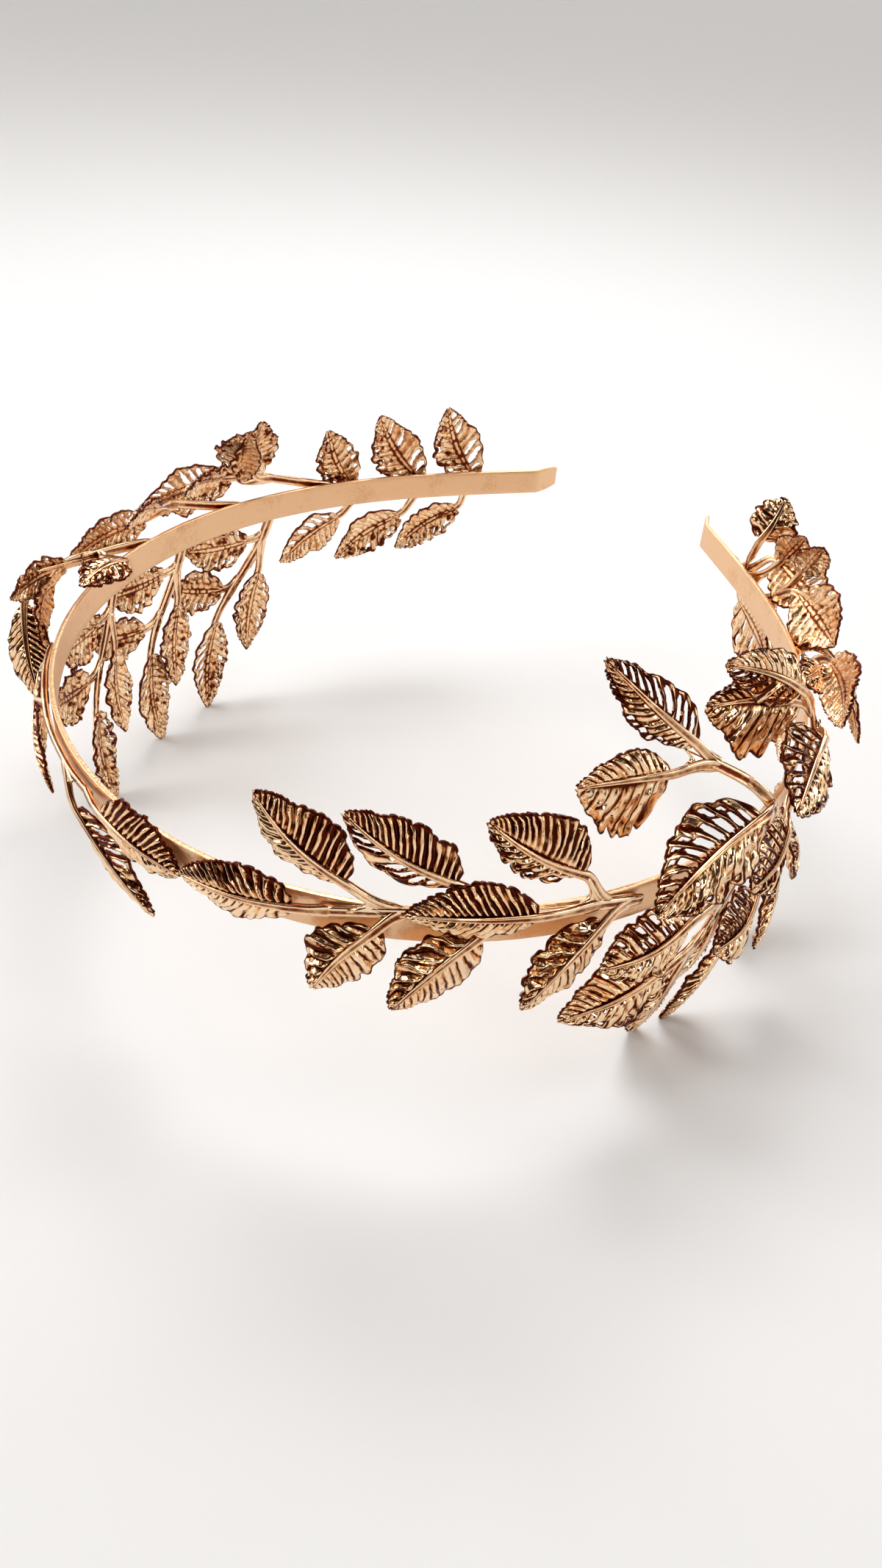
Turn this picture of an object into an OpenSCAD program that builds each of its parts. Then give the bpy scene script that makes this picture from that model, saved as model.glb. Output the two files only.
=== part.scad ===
// Laurel wreath crown: an open hoop of flat strip with stamped leaf sprays soldered
// along the outside of both arms. Millimetres, +Z up, front of the crown towards -Y.
// The crown stands on the lowest leaf tips of its side sprays, at z = 0, and the
// origin is the middle of its outline on that surface.

/* [Band] */
// Length of each arm of the band, along its centre line from the front
arm_length = 230; // [195:1:265]
// Height of the strip at the front
band_height = 7.2; // [5:0.1:9]
// Thickness of the strip
band_thickness = 1; // [0.6:0.1:1.4]
// Share of the height lost towards the ends
end_taper = 0.125; // [0:0.025:0.3]
// Length of the tip bent outward at each end
tip_length = 7; // [4:0.5:12]
// Height of the middle of the band above the surface that the crown stands on
rest_height = 50; // [50:0.5:56]

/* [Leaves] */
// Width of the leaves against the drawn width
leaf_breadth = 1; // [0.8:0.05:1.15]
// Thickness of the stamped sheet
leaf_sheet = 0.8; // [0.6:0.1:1.2]
// How deep the halves of a leaf fold back from its middle rib
leaf_fold = 0.3; // [0:0.05:0.5]
// Rise of a leaf's middle over the line from its base to its tip
leaf_bow = 1.2; // [0:0.2:2]
// Thickness of the stems
stem_size = 1.7; // [1.2:0.1:2.2]

/* [Hidden] */
gold = [0.80, 0.60, 0.42];
rose = [0.74, 0.50, 0.36];

// The centre line turns evenly over each arm, less near the ends.
drawn_arm = 230;
even_turn = 174;
end_turn = 39;
tip_turn = 28;
steps = 56;
step = arm_length / steps;

function heading(t) = even_turn * t - end_turn * pow(t, 5);
function walk(i) = [for (k = 0, p = [0, 0]; k <= i; k = k + 1,
    p = p + step * [cos(heading((k - 0.5) / steps)), sin(heading((k - 0.5) / steps))]) p];
line = walk(steps);
end_point = line[steps];
end_heading = heading(1);
reach = tip_length * [cos(end_heading - tip_turn), sin(end_heading - tip_turn)];
depth = end_point[1] + reach[1];

// The front leaves stand out this far from the centre line, and the outermost leaf
// of the right arm a little further than that of the left arm.
front_reach = 3.33;
right_lead = 0.5;
frame_shift = [-right_lead, (front_reach - depth) / 2, 0];

// Point, heading and outward direction at distance s along an arm, s as on the drawn arm
function along(s) = min(max(s / drawn_arm, 0), 1) * steps;
function between(i, f) = line[i] + f * (line[i + 1] - line[i]);
function centre(s) = let (u = along(s), i = min(floor(u), steps - 1)) between(i, u - i);
function outward(s) = let (a = heading(along(s) / steps)) [sin(a), -cos(a), 0];
function at(s, h, o) = let (c = centre(s), n = outward(s))
    [c[0] + n[0] * o, c[1] + n[1] * o, rest_height + h];

// One joint of a stem: s = along the arm, h = above the middle of the band,
// o = outward from the band's centre line.
// One leaf: base s, h, o, then tip s, h, o, then width, twist in degrees about its
// axis, number of cut slots, below zero for the other half of the leaf, and the number
// of the joint that it grows from.

front_right_joints = [[78, 1.5, 2.1], [70, 3, 2.1], [54, 4, 2.1], [34, 3.5, 2.1], [24, 1.5, 2.2]];
front_right_leaves = [
    // bs, bh, bo,   ts, th, to,      width, twist, slots, joint
    [21, 2, 2.8,     2, 0, 3,         12, 0, 0, 4],
    [29, 9, 2.2,     14, 23.5, 2.2,   12, 0, 0, 3],
    [34, 0.7, 2.9,   24, -16, 3,      12, 0, 0, 3],
    [46, 11, 2.2,    28, 23.5, 2.2,   12, 0, -5, 2],
    [50, 0, 2.8,     37, -16, 5,      12, 0, 0, 2],
    [59, 5, 4,       38, 6, 4.4,      12, 0, 0, 1],
    [66, 11, 2.2,    49, 24, 2.2,     12, 0, 0, 1],
    [71, 0, 2.8,     57, -14, 7,      11, 0, 0, 0],
];

front_left_joints = [[74, 1, 2.1], [64, 1, 2.1], [48, 1.5, 2.1], [34, 1, 2.1], [24, 1, 2.2]];
front_left_leaves = [
    [20, 1, 2.8,     1, 0, 3,         13, 0, 0, 4],
    [30, -5, 2.8,    10, -19, 0.5,    11, 0, 5, 3],
    [58, -1, 3.4,    43, -12, 3.5,    7, 0, 0, 2],
    [70, -2, 3.4,    60, -16, 4,      10, 0, 0, 1],
];

low_right_1_joints = [[107, -2, 2.1], [102, -10, 1.6], [96, -19, 1.6]];
low_right_1_leaves = [
    [90, -9, 3,      71, -11, 4,      12, 0, 0, 1],
    [89, -18, 3,     66, -24, 2.5,    13, 0, 0, 2],
    [93, -26, 1,     95, -50.6, -6,   11, 0, 0, 2],
    [102, -18, 1,    100, -38, -4,    11, 0, 0, 1],
];
low_right_2_joints = [[131, -2, 2.1], [127, -10, 1.6], [119, -20, 1.6]];
low_right_2_leaves = [
    [124, -8, 3.2,   104, -8, 5,      12, 0, 0, 1],
    [126, -18, 3,    120, -37, 5,     11, 0, 0, 1],
    [115, -20, 3,    97, -19, 5,      12, 0, 0, 2],
    [111, -29, 1,    102, -50.6, -4,  10, 0, 0, 2],
];
low_right_3_joints = [[157, -2, 2.1], [153, -10, 1.6], [145, -20, 1.6]];
low_right_3_leaves = [
    [150, -8, 3.2,   132, -7, 5.5,    12, 0, 0, 1],
    [152, -18, 1,    146, -37, -2,    11, 0, 0, 1],
    [141, -20, 2.4,  124, -16, 6.5,   12, 0, 0, 2],
    [140, -28, 1,    134, -50.6, -2,  11, 0, 0, 2],
];

low_left_1_joints = [[107, -2, 2.1], [103, -10, 1.4], [95, -21, 1.2]];
low_left_1_leaves = [
    [100, -9, 2,     81, -6, 3.5,     11, 0, 0, 1],
    [102.5, -17, 0.5, 97, -37, -3,     11, 0, 0, 1],
    [92, -20, 1.8,   75, -15, 4,      12, 0, 0, 2],
    [91, -27, 0.5,   88, -50.6, -3,   11, 0, 0, 2],
];
low_left_2_joints = [[131, -2, 2.1], [127, -10, 1.4], [119, -21, 1.2]];
low_left_2_leaves = [
    [124, -8.5, 2,   105.5, -6.5, 4,  11, 0, 0, 1],
    [126.5, -17, 0.5, 120, -37, -3,    10, 0, 0, 1],
    [116, -20, 1.8,  100, -15, 5.5,   11, 0, 0, 2],
    [116, -26, 0.5,  114, -50.6, -2,  12, 0, 5, 2],
];
low_left_3_joints = [[157, -2, 2.1], [153, -10, 1.4], [144, -21, 1.2]];
low_left_3_leaves = [
    [150, -8.5, 2,   132, -6.5, 4,    11, 0, 0, 1],
    [152, -17, 0.5,  145, -37, -3,    10, 0, 0, 1],
    [142, -20, 1.8,  128, -15.5, 5,   11, 0, 0, 2],
    [138.5, -27, 0.5, 132, -50.6, -2,  11, 0, 5, 2],
];

top_right_1_joints = [[112, 1, 2.1], [111, 5.4, 2.1], [107, 11, -2], [100, 16, -8]];
top_right_1_leaves = [
    [98, 19, -9.5,   78, 36, -19.5,   10, 0, 5, 3],
    [91, 16, -9,     69, 18, -10.5,   16, 0, 0, 3],
    [105, 8, 3,      78, 1, 6,        17, 35, 5, 1],
];
top_right_2_joints = [[138, 1, 2.1], [137.5, 5.4, 2.1], [136.5, 12, -0.5]];
top_right_2_leaves = [
    [135.5, 12.5, -2, 115, 16.5, -16.5, 13, 0, 0, 2],
    [135, 15, -2,    116, 26, -15,    11, 0, -5, 2],
    [133, 8.5, 3.8,  112, 5.5, 6,     15, 35, 5, 1],
];
top_right_3_joints = [[164, 1, 2.1], [163, 5.4, 2.1], [155, 8.5, 2.5]];
top_right_3_leaves = [
    [158, 9.5, 4,    137, 8.5, 6.5,   13, -20, 0, 1],
    [153.5, 10, 0.5, 142, 14, -3,     9, 40, 0, 2],
];

top_left_1_joints = [[110, 1, 2.1], [108, 5.4, 2.2], [99, 7, 4]];
top_left_1_leaves = [
    [103, 6.5, -4.5, 86, 8.5, -2,     9, 100, 5, 2],
    [96, 7, 6,       80, 7.5, 11,     8, 0, 0, 2],
    [92, 6, 7.5,     82, -4.5, 6.6,   9, 0, 0, 2],
    [87, 2, 11.5,    77, -16, 6.5,    10, 80, 0, 2],
];
top_left_2_joints = [[140, 1, 2.1], [138, 5.4, 2.1], [128, 8, 3.5]];
top_left_2_leaves = [
    [123, 5.5, 5,    98.5, 5, 8,      10, 0, 5, 2],
    [122, 10.5, 0,   102, 17, -7,     9, 30, 0, 2],
];
top_left_3_joints = [[166, 1, 2.1], [164, 5.4, 2.1], [153, 8.5, 1]];
top_left_3_leaves = [
    [151, 10, -0.5,  147, 28, -10,    12, 0, 0, 2],
    [146.5, 10, -0.5, 142, 27, -12,    10, 50, 0, 2],
    [148, 7.8, 4.8,  121.5, 7.4, 6.6, 12, 0, 5, 2],
    [141, 12, -1,    123, 17, -8,     10, 30, 0, 2],
];

back_right_joints = [[216, 1, 2.1], [211, 0, 2.1], [196, -1, 2.1], [180, -1, 2.1]];
back_right_leaves = [
    [209, 9.5, 3.5,  211, 19.5, 8.5,  11, -125, 0, 1],
    [203, 8, 5.2,    181, 8.5, 8.5,   13, -35, 5, 1],
    [200, 9, 5,      197, 17, 7.5,    9, 55, 0, 1],
    [192, 10, 6,     188, 19.5, 7.5,  8, 58, 0, 2],
    [188, 7.5, 4.8,  167, 7.5, 7,     13, -30, 0, 2],
    [170, 3, 8,      157, -9, 15,     8, 0, 5, 3],
    [210, -7, 2.6,   188, -11.5, 3,   13, 0, -5, 1],
    [189, -8, 2.6,   169, -16, 1,     11, 0, 0, 2],
    [175, -7, 2.6,   156, -16, 0,     11, 0, 0, 3],
];

back_left_joints = [[216, 0, 2.1], [211, 0, 2.1], [196, 0, 2.1], [179, 0, 2.1]];
back_left_leaves = [
    [213, 0.5, 2.4,  204, 20.5, 1.8,  13, 0, 5, 1],
    [198, 0.5, 2.4,  186, 19.5, 1.8,  13, 0, 5, 2],
    [179.5, 0.5, 2.4, 172.5, 17, 1.8,  11, 0, 0, 3],
    [209, -7.5, 2,   191, -17.5, 0,   10, 0, 0, 1],
    [193, -8.5, 2,   174, -18, 0,     11, 0, 0, 2],
    [176, -7, 2,     158, -16, 0,     10, 0, 5, 3],
];

// Leaf grid: stations from the base to the tip, columns from edge to edge.
// A leaf with slots has a rib cell and a slot cell in turn along one half, the other
// half where the number of slots is below zero.
plain_stations = [0.02, 0.18, 0.4, 0.63, 0.84, 0.98];
slot_stations = [0.02, 0.16, 0.25, 0.3, 0.4, 0.45, 0.55, 0.6, 0.7, 0.74, 0.84, 0.98];
plain_columns = [-1, 0, 1];
slot_columns = [-1, 0, 0.22, 0.8, 1];
other_slot_columns = [-1, -0.8, -0.22, 0, 1];

function unit(v) = v / norm(v);
function half_width(t) = max(0.09, pow(sin(180 * pow(t, 0.82)), 0.7)) / 2;
function leaf_axes(r) = let (
    base = at(r[0], r[1], r[2]),
    run = at(r[3], r[4], r[5]) - base,
    a = unit(run),
    m = outward((r[0] + r[3]) / 2),
    n0 = unit(m - (m * a) * a),
    s0 = cross(a, n0)
    ) [base, run, s0 * cos(r[7]) - n0 * sin(r[7]), n0 * cos(r[7]) + s0 * sin(r[7])];
function leaf_point(f, w, t, v, side) = f[0] + f[1] * t + f[2] * (v * w * half_width(t))
    + f[3] * (leaf_bow * sin(180 * t) - leaf_fold * abs(v) * w * half_width(t) + side * leaf_sheet / 2);
function cut(i, j, slots) = j == (slots > 0 ? 2 : 1) && i % 2 == 1 && i < 2 * abs(slots) + 1;
function there(i, j, n, m, slots) = i >= 0 && j >= 0 && i < n - 1 && j < m - 1 && !cut(i, j, slots);

module leaf(r) {
    f = leaf_axes(r);
    w = r[6] * leaf_breadth;
    slots = r[8];
    ts = slots != 0 ? slot_stations : plain_stations;
    vs = slots > 0 ? slot_columns : slots < 0 ? other_slot_columns : plain_columns;
    n = len(ts);
    m = len(vs);
    low = n * m;
    points = [for (side = [-1, 1]) for (t = ts) for (v = vs) leaf_point(f, w, t, v, side)];
    faces = [for (i = [0 : n - 2]) for (j = [0 : m - 2]) if (there(i, j, n, m, slots))
        let (a = i * m + j, b = a + 1, c = a + m + 1, d = a + m)
        each concat(
            [[a, b, c], [a, c, d], [low + a, low + c, low + b], [low + a, low + d, low + c]],
            there(i, j - 1, n, m, slots) ? [] : [[a, d, low + d], [a, low + d, low + a]],
            there(i, j + 1, n, m, slots) ? [] : [[c, b, low + b], [c, low + b, low + c]],
            there(i - 1, j, n, m, slots) ? [] : [[b, a, low + a], [b, low + a, low + b]],
            there(i + 1, j, n, m, slots) ? [] : [[d, c, low + c], [d, low + c, low + d]])];
    polyhedron(points, faces, convexity = 6);
}

module bead(p, size) {
    translate(p)
        sphere(d = size * 1.3, $fn = 4);
}

// A stem between the joints, and a stalk from a joint into the base of each leaf
module spray(joints, leaves) {
    difference() {
        union() {
            for (i = [0 : len(joints) - 2]) {
                hull() {
                    bead(at(joints[i][0], joints[i][1], joints[i][2]), stem_size);
                    bead(at(joints[i + 1][0], joints[i + 1][1], joints[i + 1][2]), stem_size);
                }
            }
            for (r = leaves) {
                f = leaf_axes(r);
                j = joints[r[9]];
                hull() {
                    bead(at(j[0], j[1], j[2]), stem_size);
                    bead(leaf_point(f, r[6], 0.1, 0, 0), stem_size * 0.8);
                }
                hull() {
                    bead(leaf_point(f, r[6], 0.1, 0, 0), stem_size * 0.8);
                    bead(leaf_point(f, r[6], 0.3, 0, 0), stem_size * 0.7);
                }
                leaf(r);
            }
        }
        translate([-200, -100, -20])
            cube([400, 400, 20]);
    }
}

module right_spray(joints, leaves) {
    translate(frame_shift)
        spray(joints, leaves);
}

module left_spray(joints, leaves) {
    translate(frame_shift)
        mirror([1, 0, 0])
            spray(joints, leaves);
}

module band() {
    side = [sin(end_heading - tip_turn / 2), -cos(end_heading - tip_turn / 2)];
    tip_side = [sin(end_heading - tip_turn), -cos(end_heading - tip_turn)];
    half = band_thickness / 2;
    outer = concat([for (i = [0 : steps - 1]) let (n = outward(i * drawn_arm / steps)) line[i] + half * [n[0], n[1]]],
        [end_point + half * side, end_point + reach + half * tip_side]);
    inner = concat([for (i = [0 : steps - 1]) let (n = outward(i * drawn_arm / steps)) line[i] - half * [n[0], n[1]]],
        [end_point - half * side, end_point + reach - half * tip_side]);
    last = steps + 1;
    outline = concat(
        [for (i = [last : -1 : 1]) [-outer[i][0], outer[i][1]]],
        [for (i = [0 : last]) outer[i]],
        [for (i = [last : -1 : 0]) inner[i]],
        [for (i = [1 : last]) [-inner[i][0], inner[i][1]]]);
    low = band_height / 2 * (1 - end_taper);
    color(gold)
        translate(frame_shift)
            intersection() {
                translate([0, 0, rest_height - band_height])
                    linear_extrude(height = 2 * band_height)
                        polygon(outline);
                translate([-arm_length, 0, rest_height])
                    rotate([90, 0, 90])
                        linear_extrude(height = 2 * arm_length)
                            polygon([[-5, -band_height / 2], [depth - 5, -low], [depth - 2, 0.6 - low],
                                [depth + 1, 2.6 - low], [depth + 1, low], [-5, band_height / 2]]);
            }
}

module front_spray_right() {
    color(rose)
        right_spray(front_right_joints, front_right_leaves);
}

module front_spray_left() {
    color(rose)
        left_spray(front_left_joints, front_left_leaves);
}

module low_spray_right_1() {
    color(rose)
        right_spray(low_right_1_joints, low_right_1_leaves);
}

module low_spray_right_2() {
    color(rose)
        right_spray(low_right_2_joints, low_right_2_leaves);
}

module low_spray_right_3() {
    color(rose)
        right_spray(low_right_3_joints, low_right_3_leaves);
}

module low_spray_left_1() {
    color(rose)
        left_spray(low_left_1_joints, low_left_1_leaves);
}

module low_spray_left_2() {
    color(rose)
        left_spray(low_left_2_joints, low_left_2_leaves);
}

module low_spray_left_3() {
    color(rose)
        left_spray(low_left_3_joints, low_left_3_leaves);
}

module top_spray_right_1() {
    color(rose)
        right_spray(top_right_1_joints, top_right_1_leaves);
}

module top_spray_right_2() {
    color(rose)
        right_spray(top_right_2_joints, top_right_2_leaves);
}

module top_spray_right_3() {
    color(rose)
        right_spray(top_right_3_joints, top_right_3_leaves);
}

module top_spray_left_1() {
    color(rose)
        left_spray(top_left_1_joints, top_left_1_leaves);
}

module top_spray_left_2() {
    color(rose)
        left_spray(top_left_2_joints, top_left_2_leaves);
}

module top_spray_left_3() {
    color(rose)
        left_spray(top_left_3_joints, top_left_3_leaves);
}

module back_spray_right() {
    color(rose)
        right_spray(back_right_joints, back_right_leaves);
}

module back_spray_left() {
    color(rose)
        left_spray(back_left_joints, back_left_leaves);
}

band();
front_spray_right();
front_spray_left();
low_spray_right_1();
low_spray_right_2();
low_spray_right_3();
low_spray_left_1();
low_spray_left_2();
low_spray_left_3();
top_spray_right_1();
top_spray_right_2();
top_spray_right_3();
top_spray_left_1();
top_spray_left_2();
top_spray_left_3();
back_spray_right();
back_spray_left();
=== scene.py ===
"""Laurel wreath crown: a hoop of flat strip with stamped leaf sprays in rose gold.

Lengths in the tables are millimetres and are turned into metres where a mesh is finished.
An arm runs from the front of the crown to one end of the band: s is the distance along
it, h the height above the middle of the band and o the distance outward.
"""

import math
from collections import namedtuple

import bmesh
import bpy
from mathutils import Matrix, Vector, noise


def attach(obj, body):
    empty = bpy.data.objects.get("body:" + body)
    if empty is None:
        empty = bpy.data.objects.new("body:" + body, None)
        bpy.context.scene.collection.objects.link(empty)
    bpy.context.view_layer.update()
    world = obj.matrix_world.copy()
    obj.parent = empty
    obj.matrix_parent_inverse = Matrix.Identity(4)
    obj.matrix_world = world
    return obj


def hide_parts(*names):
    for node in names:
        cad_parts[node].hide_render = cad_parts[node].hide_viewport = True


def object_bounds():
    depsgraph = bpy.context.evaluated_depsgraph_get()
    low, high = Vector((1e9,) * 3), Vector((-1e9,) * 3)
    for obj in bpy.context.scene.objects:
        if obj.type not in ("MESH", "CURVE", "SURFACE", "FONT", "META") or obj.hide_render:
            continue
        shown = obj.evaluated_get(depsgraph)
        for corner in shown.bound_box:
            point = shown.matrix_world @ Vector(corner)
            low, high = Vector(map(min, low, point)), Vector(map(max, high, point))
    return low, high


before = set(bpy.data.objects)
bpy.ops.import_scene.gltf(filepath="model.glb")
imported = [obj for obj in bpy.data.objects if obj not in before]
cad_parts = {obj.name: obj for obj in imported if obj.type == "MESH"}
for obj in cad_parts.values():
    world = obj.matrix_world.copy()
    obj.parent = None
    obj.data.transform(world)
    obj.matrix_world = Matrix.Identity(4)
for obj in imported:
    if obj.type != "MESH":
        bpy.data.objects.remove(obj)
cad_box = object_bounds()

MM = 0.001

# The run of the band. An arm is swept in STEPS straight steps; its heading turns steadily
# and straightens near the end.
ARM = 230.0            # length of the centre line of one arm
STEPS = 56
TURN = 174.0           # degrees an arm would turn in all
STRAIGHTEN = 39.0      # degrees it gives back near its end
END_REACH = 7.0        # length of the strip's bent end
TIP_TURN = 28.0        # degrees the end is bent outward
REST = 50.0            # height of the band's middle over the surface
BAND_HEIGHT = 7.2
BAND_THICKNESS = 1.0
END_TAPER = 0.125      # share of its height that the strip loses by its end
TIP_TAPER = 0.22       # share that the bent end loses besides
SHIFT = Vector((-0.5, -86.575, 0.0))    # moves the front of the run to its place in the frame


def heading(t):
    """Direction of the centre line at share t of an arm, in radians."""
    return math.radians(TURN * t - STRAIGHTEN * t ** 5)


def centre_line():
    points = [Vector((0.0, 0.0, 0.0))]
    for k in range(STEPS):
        a = heading((k + 0.5) / STEPS)
        points.append(points[-1] + Vector((math.cos(a), math.sin(a), 0.0)) * (ARM / STEPS))
    return points


LINE = centre_line()


def along(s):
    return min(max(s / ARM, 0.0), 1.0) * STEPS


def centre(s):
    u = along(s)
    i = min(int(u), STEPS - 1)
    return LINE[i].lerp(LINE[i + 1], u - i)


def sideways(a):
    """Unit vector square to heading a, out of the hoop."""
    return Vector((math.sin(a), -math.cos(a), 0.0))


def outward(s):
    return sideways(heading(along(s) / STEPS))


def at(s, h, o):
    return centre(s) + outward(s) * o + Vector((0.0, 0.0, REST + h))


# One row of a leaf table: s, h, o where the leaf starts and where its tip is, its width, its
# twist in degrees (a positive one turns its face up), the joint its stalk comes from, its
# lean (the share of its own width that the upper half gains and the lower one loses), and
# the looks of its upper and lower halves.
Row = namedtuple("Row", "s h o tip_s tip_h tip_o width twist joint lean upper lower")

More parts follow.
